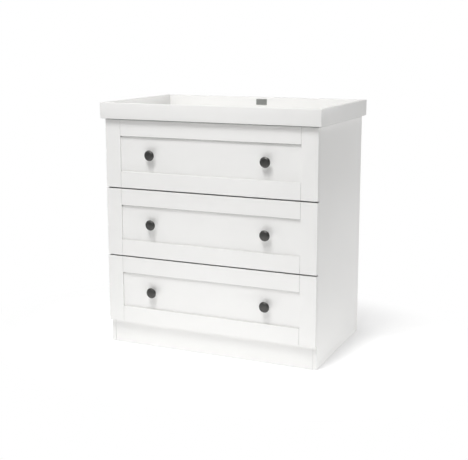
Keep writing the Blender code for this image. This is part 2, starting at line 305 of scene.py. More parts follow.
class Effects:
    """The surface effects that the finishes share."""

    def __init__(self) -> None:
        """Builds every effect's group."""
        self.drift = self._drift()
        self.peel = self._peel()
        self.edge = self._edge()
        self.dust = self._dust()
        self.streaks = self._streaks()
        # Painted shade for gaps and under overhangs, found by ambient occlusion.
        self.crevice = self._crevice()

    @staticmethod
    def _drift() -> EffectGroup:
        """Slow, cloudy change across a surface.

        Returns:
            The finished group.
        """
        group = EffectGroup("cloudy drift", {"Vector": None, "Scale": 3.0, "Contrast": 1.0}, "Mask")
        wiring = group.wiring
        noise = wiring.noise(group.given["Vector"], group.given["Scale"], 3.0)
        centred = wiring.math("MULTIPLY", wiring.math("SUBTRACT", noise, 0.5), group.given["Contrast"])
        return group.give(wiring.math("ADD", centred, 0.5))

    @staticmethod
    def _peel() -> EffectGroup:
        """The fine, rounded unevenness of a sprayed or pressed coat, as a height.

        Returns:
            The finished group.
        """
        group = EffectGroup("fine peel", {"Vector": None, "Scale": 600.0, "Grit": 0.3}, "Height")
        wiring = group.wiring
        waves = wiring.noise(group.given["Vector"], group.given["Scale"], 1.0)
        finer = wiring.math("MULTIPLY", group.given["Scale"], 3.7)
        inputs = {"Vector": group.given["Vector"], "Scale": finer}
        cells = wiring.node("ShaderNodeTexVoronoi", inputs).outputs["Distance"]
        return group.give(wiring.math("ADD", waves, wiring.math("MULTIPLY", cells, group.given["Grit"])))

    @staticmethod
    def _edge() -> EffectGroup:
        """Where hands and cloths rub: a broken band along the edges.

        Returns:
            The finished group.
        """
        group = EffectGroup("rubbed edge", {"Radius": 0.002, "Patch Scale": 40.0}, "Mask")
        wiring = group.wiring
        rounded = wiring.node("ShaderNodeBevel", {"Radius": group.given["Radius"]}, samples=4)
        facing = wiring.vector("DOT_PRODUCT", rounded.outputs["Normal"], wiring.normal(), output="Value")
        band = wiring.rescale(facing, (0.995, 0.86))
        patches = wiring.noise(wiring.place(), group.given["Patch Scale"], 4.0)
        return group.give(wiring.math("MULTIPLY", band, wiring.rescale(patches, (0.42, 0.62))))

    @staticmethod
    def _dust() -> EffectGroup:
        """A thin bloom of dust on faces that look up.

        Returns:
            The finished group.
        """
        group = EffectGroup("settled dust", {"Patch Scale": 9.0, "Amount": 0.5}, "Mask")
        wiring = group.wiring
        upward = wiring.node("ShaderNodeSeparateXYZ", {0: wiring.normal()}).outputs["Z"]
        lying = wiring.rescale(upward, (0.75, 1.0))
        patches = wiring.noise(wiring.place(), group.given["Patch Scale"], 6.0)
        grains = wiring.noise(wiring.place(), 1400.0, 2.0)
        cover = wiring.math("MULTIPLY", wiring.math("MULTIPLY", lying, patches), grains)
        return group.give(wiring.math("MULTIPLY", cover, group.given["Amount"]))

    @staticmethod
    def _streaks() -> EffectGroup:
        """Fine parallel scratches, on a vector that is already stretched across them.

        Returns:
            The finished group.
        """
        group = EffectGroup("brushed streaks", {"Vector": None, "Breaks": 2.0}, "Mask")
        wiring = group.wiring
        lines = wiring.noise(group.given["Vector"], 1.0, 5.0)
        breaks = wiring.noise(wiring.place(), group.given["Breaks"], 2.0)
        return group.give(wiring.math("MULTIPLY", lines, wiring.math("ADD", breaks, 0.5)))

    @staticmethod
    def _crevice() -> EffectGroup:
        """Painted shade: a mask for darkening colour where other surfaces hem a place in, most of all from
        above.

        Returns:
            The finished group.
        """
        group = EffectGroup("crevice", {"Distance": 0.02, "Open": 0.55, "Tight": 0.1}, "Mask")
        wiring = group.wiring
        lean = (0.0, 0.0, 0.8)
        upward = wiring.vector("NORMALIZE", wiring.vector("ADD", wiring.normal(), lean))
        inputs = {"Distance": group.given["Distance"], "Normal": upward}
        # Ambient occlusion about a normal leaned upwards, so that the painted shade falls most under things
        # above.
        open_share = wiring.node("ShaderNodeAmbientOcclusion", inputs, samples=12).outputs["AO"]
        return group.give(wiring.rescale(open_share, (group.given["Open"], group.given["Tight"])))


EFFECTS = Effects()


def shaded(colour: Colour, share: float) -> tuple[float, float, float, float]:
    """A colour multiplied by a share, with full opacity."""
    return (*(c * share for c in colour), 1.0)


def start_material(name: str) -> tuple[bpy.types.Material, Wiring, bpy.types.NodeInputs]:
    """Starts a material.

    Args:
        name: Its name.

    Returns:
        The material, its wiring and its Principled shader's inputs.
    """
    made = bpy.data.materials.new(name)
    made.use_nodes = True
    return made, Wiring(made.node_tree), made.node_tree.nodes["Principled BSDF"].inputs


# ---------------------------------------------------------------------------------------------------
# Finishes
# ---------------------------------------------------------------------------------------------------


@dataclass(frozen=True)
class Coating:
    """White paint, foil or melamine on a board."""

    name: str
    colour: Colour = (0.872, 0.868, 0.855)
    drift: float = 0.010
    roughness: tuple[float, float] = (0.36, 0.46)
    peel_scale: float = 620.0
    peel_height: float = 0.000012
    grit: float = 0.25
    edge_radius: float = 0.0022
    edge_tone: float = 0.985
    dust: float = 0.35
    dust_colour: Colour = (0.70, 0.68, 0.64)
    # Painted shade in gaps: how far its ambient occlusion looks, and the share of the colour left where a
    # place is hemmed in.
    painted_shade_reach: float = 0.012
    painted_shade_tone: float = 0.06
    coat: float = 0.12

    def material(self) -> bpy.types.Material:
        """Builds the coating.

        Returns:
            A material whose colour drifts slightly, is rubbed along edges, holds a little dust, and has
            painted shade in its colour in narrow gaps and under things above.
        """
        made, wiring, shader = start_material(self.name)
        place = wiring.place()
        drift = EFFECTS.drift.use(wiring, Vector=place, Scale=4.5, Contrast=1.4)
        edge = EFFECTS.edge.use(wiring, Radius=self.edge_radius, Patch_Scale=34.0)
        dust = EFFECTS.dust.use(wiring, Patch_Scale=8.0, Amount=self.dust)
        # Painted shade: a mask where ambient occlusion finds the surface hemmed in.
        crevice = EFFECTS.crevice.use(wiring, Distance=self.painted_shade_reach)
        height = EFFECTS.peel.use(wiring, Vector=place, Scale=self.peel_scale, Grit=self.grit)

        darker = shaded(self.colour, 1.0 - self.drift)
        lighter = shaded(self.colour, 1.0 + self.drift)
        rubbed = wiring.mix(edge, wiring.mix(drift, darker, lighter), shaded(self.colour, self.edge_tone))
        even = wiring.rescale(drift, target=self.roughness)
        burnished = wiring.math("SUBTRACT", even, wiring.math("MULTIPLY", edge, 0.10))
        dulled = wiring.math("ADD", burnished, wiring.math("MULTIPLY", dust, 0.6))
        dusty = wiring.mix(dust, rubbed, (*self.dust_colour, 1.0))
        # The base colour falls towards the painted shade tone in gaps and under overhangs, standing in for
        # shadow.
        looks = {
            "Base Color": wiring.mix(crevice, dusty, shaded(self.colour, self.painted_shade_tone)),
            "Roughness": dulled,
            "Normal": wiring.bump(height, self.peel_height),
            "IOR": 1.48,
            "Coat Weight": self.coat,
            "Coat Roughness": 0.28,
            "Specular IOR Level": 0.45,
        }
        wiring.fill(shader, looks)
        return made


@dataclass(frozen=True)
class BrushedMetal:
    """Steel or aluminium with fine streaks along one axis."""

    name: str
    colour: Colour
    tint: Colour
    roughness: tuple[float, float] = (0.24, 0.42)
    stretch: Point = (900.0, 12.0, 900.0)
    streak_height: float = 0.000008
    edge_tone: float = 1.25
    anisotropy: float = 0.35
    metallic: float = 1.0

    def material(self) -> bpy.types.Material:
        """Builds the metal.

        Returns:
            A material with streaks in its roughness and relief, and a faint tint in patches.
        """
        made, wiring, shader = start_material(self.name)
        streaks = EFFECTS.streaks.use(wiring, Vector=wiring.place(self.stretch), Breaks=30.0)
        drift = EFFECTS.drift.use(wiring, Vector=wiring.place(), Scale=22.0, Contrast=1.8)
        edge = EFFECTS.edge.use(wiring, Radius=0.0008, Patch_Scale=120.0)
        tinted = wiring.mix(drift, (*self.colour, 1.0), (*self.tint, 1.0))
        looks = {
            "Base Color": wiring.mix(edge, tinted, shaded(self.colour, self.edge_tone)),
            "Roughness": wiring.rescale(streaks, target=self.roughness),
            "Normal": wiring.bump(streaks, self.streak_height),
            "Metallic": self.metallic,
            "Anisotropic": self.anisotropy,
        }
        wiring.fill(shader, looks)
        return made


@dataclass(frozen=True)
class Gunmetal:
    """Dark plated casting: a satin skin with a fine grain, brighter where fingers rub it."""

    name: str = "gunmetal"
    colour: Colour = (0.088, 0.087, 0.084)
    rubbed: Colour = (0.150, 0.146, 0.140)
    roughness: tuple[float, float] = (0.40, 0.52)
    grain_height: float = 0.000010
    metallic: float = 0.85

    def material(self) -> bpy.types.Material:
        """Builds the plating.

        Returns:
            A dark metallic material with cast grain and rubbed edges.
        """
        made, wiring, shader = start_material(self.name)
        place = wiring.place()
        drift = EFFECTS.drift.use(wiring, Vector=place, Scale=90.0, Contrast=1.6)
        grain = EFFECTS.peel.use(wiring, Vector=place, Scale=1500.0, Grit=0.6)
        edge = EFFECTS.edge.use(wiring, Radius=0.0008, Patch_Scale=160.0)
        plated = wiring.mix(drift, shaded(self.colour, 0.85), shaded(self.colour, 1.20))
        even = wiring.rescale(drift, target=self.roughness)
        looks = {
            "Base Color": wiring.mix(edge, plated, (*self.rubbed, 1.0)),
            "Roughness": wiring.math("SUBTRACT", even, wiring.math("MULTIPLY", edge, 0.08)),
            "Normal": wiring.bump(grain, self.grain_height),
            "Metallic": self.metallic,
        }
        wiring.fill(shader, looks)
        return made


@dataclass(frozen=True)
class Polymer:
    """Soft pale polymer with a matt bloom, for the bumpers."""

    name: str = "soft_polymer"
    colour: Colour = (0.62, 0.62, 0.60)
    roughness: tuple[float, float] = (0.50, 0.68)
    grain_height: float = 0.000012

    def material(self) -> bpy.types.Material:
        """Builds the polymer.

        Returns:
            A pale material with a faintly mottled tone and a moulded grain.
        """
        made, wiring, shader = start_material(self.name)
        place = wiring.place()
        drift = EFFECTS.drift.use(wiring, Vector=place, Scale=160.0, Contrast=1.5)
        grain = EFFECTS.peel.use(wiring, Vector=place, Scale=2200.0, Grit=0.4)
        looks = {
            "Base Color": wiring.mix(drift, shaded(self.colour, 0.94), shaded(self.colour, 1.05)),
            "Roughness": wiring.rescale(drift, target=self.roughness),
            "Normal": wiring.bump(grain, self.grain_height),
        }
        wiring.fill(shader, looks)
        return made


LACQUER = Coating("sprayed_lacquer")
MELAMINE = Coating(
    "white_melamine",
    colour=(0.840, 0.838, 0.828),
    roughness=(0.46, 0.56),
    peel_scale=900.0,
    peel_height=0.000018,
    grit=0.6,
    coat=0.0,
)
HARDBOARD = Coating(
    "painted_hardboard",
    colour=(0.800, 0.797, 0.785),
    drift=0.022,
    roughness=(0.55, 0.70),
    peel_scale=420.0,
    peel_height=0.000030,
    grit=0.8,
    coat=0.0,
)
ZINC = BrushedMetal("zinc_plated_steel", colour=(0.62, 0.63, 0.65), tint=(0.60, 0.60, 0.58))
ANODISED = BrushedMetal(
    "anodised_plate",
    colour=(0.36, 0.37, 0.355),
    tint=(0.33, 0.34, 0.33),
    roughness=(0.38, 0.52),
    stretch=(14.0, 900.0, 1200.0),
    metallic=0.75,
)
GUNMETAL = Gunmetal()
POLYMER = Polymer()
Finish = Coating | BrushedMetal | Gunmetal | Polymer
SLOT_FINISHES: dict[Slot, Finish] = {
    Slot.CABINET: LACQUER,
    Slot.TRAY: LACQUER,
    Slot.FRONT: LACQUER,
    Slot.BOX: MELAMINE,
    Slot.HARDBOARD: HARDBOARD,
    Slot.KNOB: GUNMETAL,
    Slot.STEEL: ZINC,
    Slot.PLATE: ANODISED,
}


class FinishShop:
    """Builds each finish once and hands it out."""

    def __init__(self) -> None:
        """Starts with no finish built."""
        self.built: dict[str, bpy.types.Material] = {}

    def get(self, finish: Finish) -> bpy.types.Material:
        """Hands out a finish, which is built when it is first asked for.

        Args:
            finish: Which finish.

        Returns:
            Its material.
        """
        if finish.name not in self.built:
            self.built[finish.name] = finish.material()
        return self.built[finish.name]

    def dress_nodes(self) -> None:
        """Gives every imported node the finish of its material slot."""
        for part in frame["record"]["subparts"]:
            finish = SLOT_FINISHES[Slot(part["material_slot"])]
            materials = frame["nodes"][part["node"]].data.materials
            materials.clear()
            materials.append(self.get(finish))


# ---------------------------------------------------------------------------------------------------
# Shaping
# ---------------------------------------------------------------------------------------------------


def arc(centre: tuple[float, float], radius: float, start: float, stop: float, steps: int) -> Profile:
    """Points on a circle of a turned profile.

    Args:
        centre: The circle's centre, as a radius from the axis and a height along it.
        radius: The circle's radius.
        start: The first point's angle in degrees, from the outward direction towards the tip.
        stop: The last point's angle.
        steps: How many steps there are between them.

    Returns:
        The points, from start to stop.
    """
    angles = [math.radians(start + (stop - start) * n / steps) for n in range(steps + 1)]
    return [(centre[0] + radius * math.cos(a), centre[1] + radius * math.sin(a)) for a in angles]


def dome(radius: float, height: float, rise: float, steps: int) -> Profile:
    """A shallow crown from the axis out to a radius, where it has come down to a height."""
    shares = [n / steps for n in range(steps + 1)]
    return [(radius * s, height + rise * (1.0 - s * s)) for s in shares]


class Blank:
    """Stock on the bench. It is shaped part by part, and then fitted to a body."""

    def __init__(self) -> None:
        """Starts with nothing on the bench."""
        self.mesh = bmesh.new()

    def _join(self, part: bmesh.types.BMesh, place: Vector, facing: Facing | None) -> None:
        """Turns and places a part, and joins it to the piece.

        Args:
            part: The part, which is used up.
            place: Where its own origin goes.
            facing: Where its own +Z goes, or nothing to leave it as it is.
        """
        turn = facing.turn if facing else Matrix.Identity(4)
        part.transform(Matrix.Translation(place) @ turn)
        held = bpy.data.meshes.new("held")
        part.to_mesh(held)
        part.free()
        self.mesh.from_mesh(held)
        bpy.data.meshes.remove(held)

    @staticmethod
    def _block(low: Vector, high: Vector) -> bmesh.types.BMesh:
        """Makes a box between two corners.

        Args:
            low: Its lowest corner.
            high: Its highest corner.

        Returns:
            The box.
        """
        part = bmesh.new()
        bmesh.ops.create_cube(part, size=1.0)
        bmesh.ops.scale(part, vec=high - low, verts=part.verts)
        bmesh.ops.translate(part, vec=(low + high) / 2.0, verts=part.verts)
        return part

    @staticmethod
    def _round(part: bmesh.types.BMesh, edges: Iterable, radius: float, steps: int) -> None:
        """Rounds some of a part's edges.

        Args:
            part: The part.
            edges: Which of its edges.
            radius: How far the rounding reaches from each edge.
            steps: How many facets it has.
        """
        bmesh.ops.bevel(
            part,
            geom=list(edges),
            offset=radius,
            segments=steps,
            profile=0.5,
            affect="EDGES",
            material=-1,
        )

    def board(
        self,
        low: Vector,
        high: Vector,
        arris: float,
        steps: int = 3,
        mitres: Iterable[tuple[Vector, Vector]] = (),
    ) -> None:
        """Adds a board with rounded arrises, cut off past each of its mitres.

        Args:
            low: Its lowest corner.
            high: Its highest corner.
            arris: The radius of its edges.
            steps: How many facets round an edge has.
            mitres: A point on each cut and the direction in which the board is taken away.
        """
        part = self._block(low, high)
        self._round(part, part.edges, arris, steps)
        for point, away in mitres:
            everything = [*part.verts, *part.edges, *part.faces]
            cut = bmesh.ops.bisect_plane(
                part,
                geom=everything,
                dist=1e-7,
                plane_co=point,
                plane_no=away,
                clear_outer=True,
            )
            rim = [e for e in cut["geom_cut"] if isinstance(e, bmesh.types.BMEdge)]
            bmesh.ops.edgeloop_fill(part, edges=rim)
        self._join(part, Vector(), None)

    def turned(
        self,
        profile: Profile,
        place: Vector,
        facing: Facing,
        steps: int,
        ring: bool = False,
        recess: float = 0.0,
    ) -> None:
        """Adds a turned part.

        Args:
            profile: Radii from the axis and heights along it.
            place: Where the axis meets height 0.
            facing: The way the axis points.
            steps: How many facets the part has round its axis, which is 16 where it has a recess.
            ring: Whether the profile closes on itself, clear of the axis.
            recess: The depth of the driver's cross, which takes the profile's first three points.
        """
        part = bmesh.new()
        points = [part.verts.new((radius, 0.0, height)) for radius, height in profile]
        edges = [part.edges.new(pair) for pair in zip(points, points[1:])]
        if ring:
            edges.append(part.edges.new((points[-1], points[0])))
        bmesh.ops.spin(
            part,
            geom=[*points, *edges],
            cent=(0.0, 0.0, 0.0),
            axis=(0.0, 0.0, 1.0),
            angle=math.tau,
            steps=steps,
            use_merge=True,
        )
        bmesh.ops.remove_doubles(part, verts=part.verts, dist=SAME_PLACE)
        bmesh.ops.recalc_face_normals(part, faces=part.faces)
        if recess:
            self._cross(part, profile[1][0], profile[0][1], recess)
        self._join(part, place, facing)

    @staticmethod
    def _cross(part: bmesh.types.BMesh, hub: float, top: float, depth: float) -> None:
        """Sinks a cross for a screwdriver into a flat top of 16 sectors.

        Args:
            part: The turned part.
            hub: The radius of the cross's middle.
            top: The height of the flat top.
            depth: How deep the cross is.
        """
        quarter = math.tau / 4.0
        sector = math.tau / 16.0
        sunk = []
        for face in part.faces:
            middle = face.calc_center_median()
            flat = all(abs(corner.co.z - top) < SAME_PLACE for corner in face.verts)
            on_arm = math.atan2(middle.y, middle.x) % quarter < sector
            if flat and (middle.xy.length < hub or on_arm):
                sunk.append(face)
        bmesh.ops.inset_region(part, faces=sunk, thickness=hub / 8.0, depth=-depth, use_even_offset=True)

    def screw(self, place: Vector, facing: Facing, radius: float, height: float) -> None:
        """Adds a crowned screw head with a cross recess, standing on a face.

        Args:
            place: The middle of the head's underside.
            facing: The way the head points.
            radius: The head's radius.
            height: The head's height.
        """
        hub = 0.16 * radius
        flat_edge = 0.58 * radius
        fall = 0.42 * radius
        flat = [(0.0, height), (hub, height), (flat_edge, height)]
        crown = [(r, h * height / fall) for r, h in arc((flat_edge, 0.0), fall, 80.0, 0.0, 5)]
        self.turned([*flat, *crown, (0.0, 0.0)], place, facing, 16, recess=0.6 * height)

    def washer(self, place: Vector, facing: Facing, hole: float, radius: float, thick: float) -> None:
        """Adds a flat washer with a broken outer edge, lying on a face.

        Args:
            place: The middle of its underside.
            facing: The way that its upper face looks.
            hole: The radius of its hole.
            radius: Its outer radius.
            thick: Its thickness.
        """
        broken = 0.3 * thick
        section = [
            (hole, 0.0),
            (hole, thick),
            (radius - broken, thick),
            (radius, thick - broken),
            (radius, 0.0),
        ]
        self.turned(section, place, facing, 32, ring=True)

    def fastener(
        self,
        place: Vector,
        facing: Facing,
        screw: tuple[float, float],
        washer: tuple[float, float],
    ) -> None:
        """Adds a screw head on its washer.

        Args:
            place: The middle of the washer's underside.
            facing: The way that the head points.
            screw: The head's radius and height.
            washer: The washer's radius and thickness.
        """
        self.washer(place, facing, 0.5 * screw[0], *washer)
        self.screw(place + Vector(facing.value) * washer[1], facing, *screw)

    def plate(self, low: Vector, high: Vector, corner: float, border: float, sink: float) -> None:
        """Adds an upright plate that faces forwards, with rounded corners and a raised border.

        Args:
            low: Its lowest corner.
            high: Its highest corner.
            corner: The radius of its corners.
            border: How wide the border is.
            sink: How far the middle lies behind the border.
        """
        part = self._block(low, high)
        thickness = high.y - low.y
        corners = [e for e in part.edges if abs((e.verts[0].co - e.verts[1].co).y) > 0.5 * thickness]
        self._round(part, corners, corner, 6)
        face = min(part.faces, key=lambda f: f.calc_center_median().y)
        bmesh.ops.inset_region(part, faces=[face], thickness=sink, depth=sink)
        bmesh.ops.inset_region(part, faces=[face], thickness=border)
        bmesh.ops.inset_region(part, faces=[face], thickness=sink, depth=-sink)
        self._join(part, Vector(), None)

    def ball(self, place: Vector, radius: float) -> None:
        """Adds a bearing ball.

        Args:
            place: Its middle.
            radius: Its radius.
        """
        part = bmesh.new()
        bmesh.ops.create_uvsphere(part, u_segments=10, v_segments=6, radius=radius)
        self._join(part, place, None)

    def fit(
        self,
        name: str,
        material: bpy.types.Material,
        body: Body,
        replaced: str | None = None,
    ) -> None:
        """Makes the piece an object that rides on a body, at the origin, with its place in its mesh.

        Args:
            name: The piece's name.
            material: Its finish.
            body: The body it moves with.
            replaced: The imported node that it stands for, if there is one.
        """
        mesh = bpy.data.meshes.new(name)
        for face in self.mesh.faces:
            face.smooth = True
        self.mesh.to_mesh(mesh)
        self.mesh.free()
        mesh.set_sharp_from_angle(angle=math.radians(SHARP_DEGREES))
        mesh.materials.append(material)
        piece = bpy.data.objects.new(name, mesh)
        bpy.context.scene.collection.objects.link(piece)
        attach(piece, body.value)
        if replaced:
            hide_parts(replaced)
        LOG.info("%s: %d faces, on %s", name, len(mesh.polygons), body.value)


# ---------------------------------------------------------------------------------------------------
# Sub-assemblies
# ---------------------------------------------------------------------------------------------------


@dataclass
class Tray:
    """The changing tray: four mitred boards with softened arrises, and the plate on the rear one."""

    shop: FinishShop
    arris: float = 0.0018
    mitre_gap: float = 0.00015
    plate_corner: float = 0.0020
    plate_border: float = 0.0013
    plate_sink: float = 0.0003
    pin_radius: float = 0.0012
    pin_inset: float = 0.0036

    def build(self) -> None:
        """Makes the boards and the plate."""
        front_low, front_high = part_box("tray_front_board")
        rear_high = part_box("tray_rear_board")[1]
        low = Vector((front_low.x, front_low.y, front_low.z))
        high = Vector((front_high.x, rear_high.y, front_high.z))
        thick = front_high.y - front_low.y
        self._board("front", low, Vector((high.x, low.y + thick, high.z)), Vector((0.0, 1.0, 0.0)))
        self._board("rear", Vector((low.x, high.y - thick, low.z)), high, Vector((0.0, -1.0, 0.0)))
        self._board("left", low, Vector((low.x + thick, high.y, high.z)), Vector((1.0, 0.0, 0.0)))
        self._board("right", Vector((high.x - thick, low.y, low.z)), high, Vector((-1.0, 0.0, 0.0)))
        self._plate()

    def _board(self, name: str, low: Vector, high: Vector, inwards: Vector) -> None:
        """Makes one board, mitred at both ends.

        Args:
            name: Which board it is.
            low: The lowest corner of the board before its ends are cut.
            high: The highest corner.
            inwards: From its outer face to the middle of the tray.
        """
        along = Vector((abs(inwards.y), abs(inwards.x), 0.0))
        half = (high - low) / 2.0
        outer = low + half - inwards * abs(half.dot(inwards))
        mitres = []
        for end in (-1.0, 1.0):
            corner = outer + end * half.dot(along) * along
            away = (end * along + inwards).normalized()
            mitres.append((corner - away * self.mitre_gap, away))
        blank = Blank()
        blank.board(low, high, self.arris, 4, mitres)
        node = f"tray_{name}_board"
        blank.fit(f"tray_{name}_board_fine", self.shop.get(LACQUER), Body.CABINET, node)

    def _plate(self) -> None:
        """Makes a blank plate with rounded corners, a raised border and two pins."""
        low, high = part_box("name_plate")
        blank = Blank()
        blank.plate(low, high, self.plate_corner, self.plate_border, self.plate_sink)
        for side in Side:
            across = side.outer((low, high)) - side.value * self.pin_inset
            where = Vector((across, low.y + self.plate_sink, (low.z + high.z) / 2.0))
            pin = [*dome(self.pin_radius, 0.0004, 0.0003, 4), (self.pin_radius, 0.0), (0.0, 0.0)]
            blank.turned(pin, where, Facing.FORWARDS, 16)
        material = self.shop.get(ANODISED)
        blank.fit("bordered_plate", material, Body.CABINET, "name_plate")


@dataclass
class BackFixings:
    """What shows from behind: the back panel's nails, and the tray brackets' screws and washers."""

    shop: FinishShop
    nail_count: int = 7
    nail_radius: float = 0.0024
    nail_rise: float = 0.0008
    nail_margin: float = 0.045
    screw: tuple[float, float] = (0.0038, 0.0018)
    washer: tuple[float, float] = (0.0052, 0.0006)
    screw_spacing: float = 0.016
    bracket_steel: float = 0.002

    def build(self) -> None:
        """Makes the row of nails and each bracket's screws."""
        self._nails()
        for side in Side:
            self._bracket_screws(side)

    def _nails(self) -> None:
        """Makes one row of nails through the back panel into the bottom panel's rear edge."""
        low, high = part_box("back_panel")
        floor_low, floor_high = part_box("bottom_panel")
        first = low.x + self.nail_margin
        pitch = (high.x - low.x - 2.0 * self.nail_margin) / (self.nail_count - 1)
        crown = dome(self.nail_radius, 0.25 * self.nail_rise, 0.75 * self.nail_rise, 4)
        head = [*crown, (self.nail_radius, 0.0), (0.0, 0.0)]
        blank = Blank()
        for n in range(self.nail_count):
            where = Vector((first + n * pitch, high.y, (floor_low.z + floor_high.z) / 2.0))
            blank.turned(head, where, Facing.BACKWARDS, 16)
        blank.fit("back_panel_nails", self.shop.get(ZINC), Body.CABINET)

    def _bracket_screws(self, side: Side) -> None:
        """Makes the four screws of one tray bracket.

        Args:
            side: Which bracket.
        """
        low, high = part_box(f"tray_bracket_{side.word}")
        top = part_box("top_panel")[1].z
        # The lower leg lies against the top panel, and the upper leg against the tray's rear board.
        legs = ((low.y + self.bracket_steel, (low.z + top) / 2.0), (high.y, (top + high.z) / 2.0))
        blank = Blank()
        for back, height in legs:
            for hand in (-0.5, 0.5):
                where = Vector(((low.x + high.x) / 2.0 + hand * self.screw_spacing, back, height))
                blank.fastener(where, Facing.BACKWARDS, self.screw, self.washer)
        blank.fit(f"tray_bracket_screws_{side.word}", self.shop.get(ZINC), Body.CABINET)


@dataclass
class Knob:
    """A turned knob: a crowned disc inside a groove, a sloping rim, a cove down to the neck, and a foot."""

    shop: FinishShop
    steps: int = 64
    disc: float = 0.0143
    crown: float = 0.0016
    groove: float = 0.0009
    rim: float = 0.0017
    rim_drop: float = 0.0066
    neck: float = 0.0062
    cove: float = 0.0085
    cove_height: float = 0.0098
    foot: float = 0.0092
    foot_round: float = 0.0010
    foot_height: float = 0.0026
    screw: tuple[float, float] = (0.0042, 0.0021)
    washer: tuple[float, float] = (0.0070, 0.0009)

    def profile(self, radius: float, reach: float) -> Profile:
        """The knob's outline from its tip down to its foot.

        Args:
            radius: The knob's largest radius.
            reach: Its height over the panel.

        Returns:
            Radii and heights.
        """
        shoulder = reach - self.crown
        channel = (self.disc + self.groove, shoulder)
        rim_centre = (radius - self.rim, reach - self.rim_drop)
        cove_centre = (self.neck + self.cove, self.cove_height)
        foot_centre = (self.foot - self.foot_round, self.foot_height - self.foot_round)
        return [
            *dome(self.disc, shoulder, self.crown, 8),
            *arc(channel, self.groove, 200.0, 330.0, 6),
            *arc(rim_centre, self.rim, 62.0, -80.0, 10),
            *arc(cove_centre, self.cove, 125.0, 225.0, 12),
            *arc(foot_centre, self.foot_round, 90.0, 0.0, 4),
            (self.foot, 0.0),
            (0.0, 0.0),
        ]

    def build(self, body: Body, side: Side) -> None:
        """Makes one knob, and the screw and washer that hold it from behind the panel.

        Args:
            body: The drawer that it is on.
            side: Which of the drawer's knobs it is.
        """
        node = f"{body.value}_knob_{side.word}"
        low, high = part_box(node)
        foot = Vector(((low.x + high.x) / 2.0, high.y, (low.z + high.z) / 2.0))
        blank = Blank()
        profile = self.profile((high.x - low.x) / 2.0, high.y - low.y)
        blank.turned(profile, foot, Facing.FORWARDS, self.steps)
        blank.fit(f"{body.value}_turned_knob_{side.word}", self.shop.get(GUNMETAL), body, node)

        behind = Vector((foot.x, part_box(f"{body.value}_panel")[1].y, foot.z))
        blank = Blank()
        blank.fastener(behind, Facing.BACKWARDS, self.screw, self.washer)
        blank.fit(f"{body.value}_knob_screw_{side.word}", self.shop.get(ZINC), body)


@dataclass
class Runner:
    """One drawer runner's ball cage, and the screws that hold its channel and its slider."""

    shop: FinishShop
    steel: float = 0.0012
    ball_radius: float = 0.00155
    ball_pitch: float = 0.0115
    ball_count: int = 9
    cage_front: float = 0.012
    cage_thick: float = 0.0004
    cage_strip: float = 0.0060
    cage_web_gap: float = 0.0003
    screw_radius: float = 0.0034
    screw_height: float = 0.0017
    channel_screws: tuple[float, ...] = (0.36, 0.66, 0.95)
    slider_screws: tuple[float, ...] = (0.08, 0.92)

    def build(self, body: Body, side: Side) -> None:
        """Makes the cage and the screws of one runner.

        Args:
            body: The drawer that it carries.
            side: Which of the drawer's runners it is.
        """
        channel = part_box(f"{body.value}_channel_{side.word}")
        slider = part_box(f"{body.value}_slider_{side.word}")
        self._cage(body, side, channel, slider)
        web = side.outer(channel) - side.value * self.steel
        name = f"{body.value}_channel_screws_{side.word}"
        self._screws(name, Body.CABINET, channel, web, self.channel_screws, Facing.across(side, False))
        web = side.inner(slider) + side.value * self.steel
        name = f"{body.value}_slider_screws_{side.word}"
        self._screws(name, body, slider, web, self.slider_screws, Facing.across(side, True))

    def _screws(
        self,
        name: str,
        body: Body,
        rail: Box,
        web: float,
        shares: tuple[float, ...],
        facing: Facing,
    ) -> None:
        """Makes a row of screw heads on a rail's web.

        Args:
            name: The piece's name.
            body: The body that it rides on.
            rail: The rail's lowest and highest corners.
            web: The X of the web's face.
            shares: Each screw's place, as a share of the rail's length from its front end.
            facing: The way the heads point.
        """
        low, high = rail
        blank = Blank()
        for share in shares:
            where = Vector((web, low.y + share * (high.y - low.y), (low.z + high.z) / 2.0))
            blank.screw(where, facing, self.screw_radius, self.screw_height)
        blank.fit(name, self.shop.get(ZINC), body)

    def _cage(self, body: Body, side: Side, channel: Box, slider: Box) -> None:
        """Makes the sheet steel cage and its two rows of balls, at the channel's mouth.

        Args:
            body: The drawer that it carries.
            side: Which of the drawer's runners it is.
            channel: The channel's lowest and highest corners.
            slider: The slider's lowest and highest corners.
        """
        middle = (channel[0].z + channel[1].z) / 2.0
        reach = ((channel[1].z - channel[0].z) / 2.0 - self.steel + (slider[1].z - slider[0].z) / 2.0) / 2.0
        tip = side.outer(slider)
        across = (side.inner(channel) + tip) / 2.0
        front = channel[0].y + self.cage_front
        back = front + (self.ball_count + 1) * self.ball_pitch
        web = tip + side.value * (self.cage_web_gap + self.cage_thick / 2.0)
        half = self.cage_thick / 2.0
        arris = self.cage_thick / 5.0
        blank = Blank()
        low = Vector((web - half, front, middle - reach))
        blank.board(low, Vector((web + half, back, middle + reach)), arris, 2)
        for row in (-1.0, 1.0):
            height = middle + row * reach
            ends = sorted((across - side.value * self.cage_strip / 2.0, web))
            low = Vector((ends[0], front, height - half))
            blank.board(low, Vector((ends[1], back, height + half)), arris, 2)
            for n in range(self.ball_count):
                where = Vector((across, front + (n + 1) * self.ball_pitch, height))
                blank.ball(where, self.ball_radius)
        name = f"{body.value}_ball_cage_{side.word}"
        blank.fit(name, self.shop.get(ZINC), Body.CABINET)


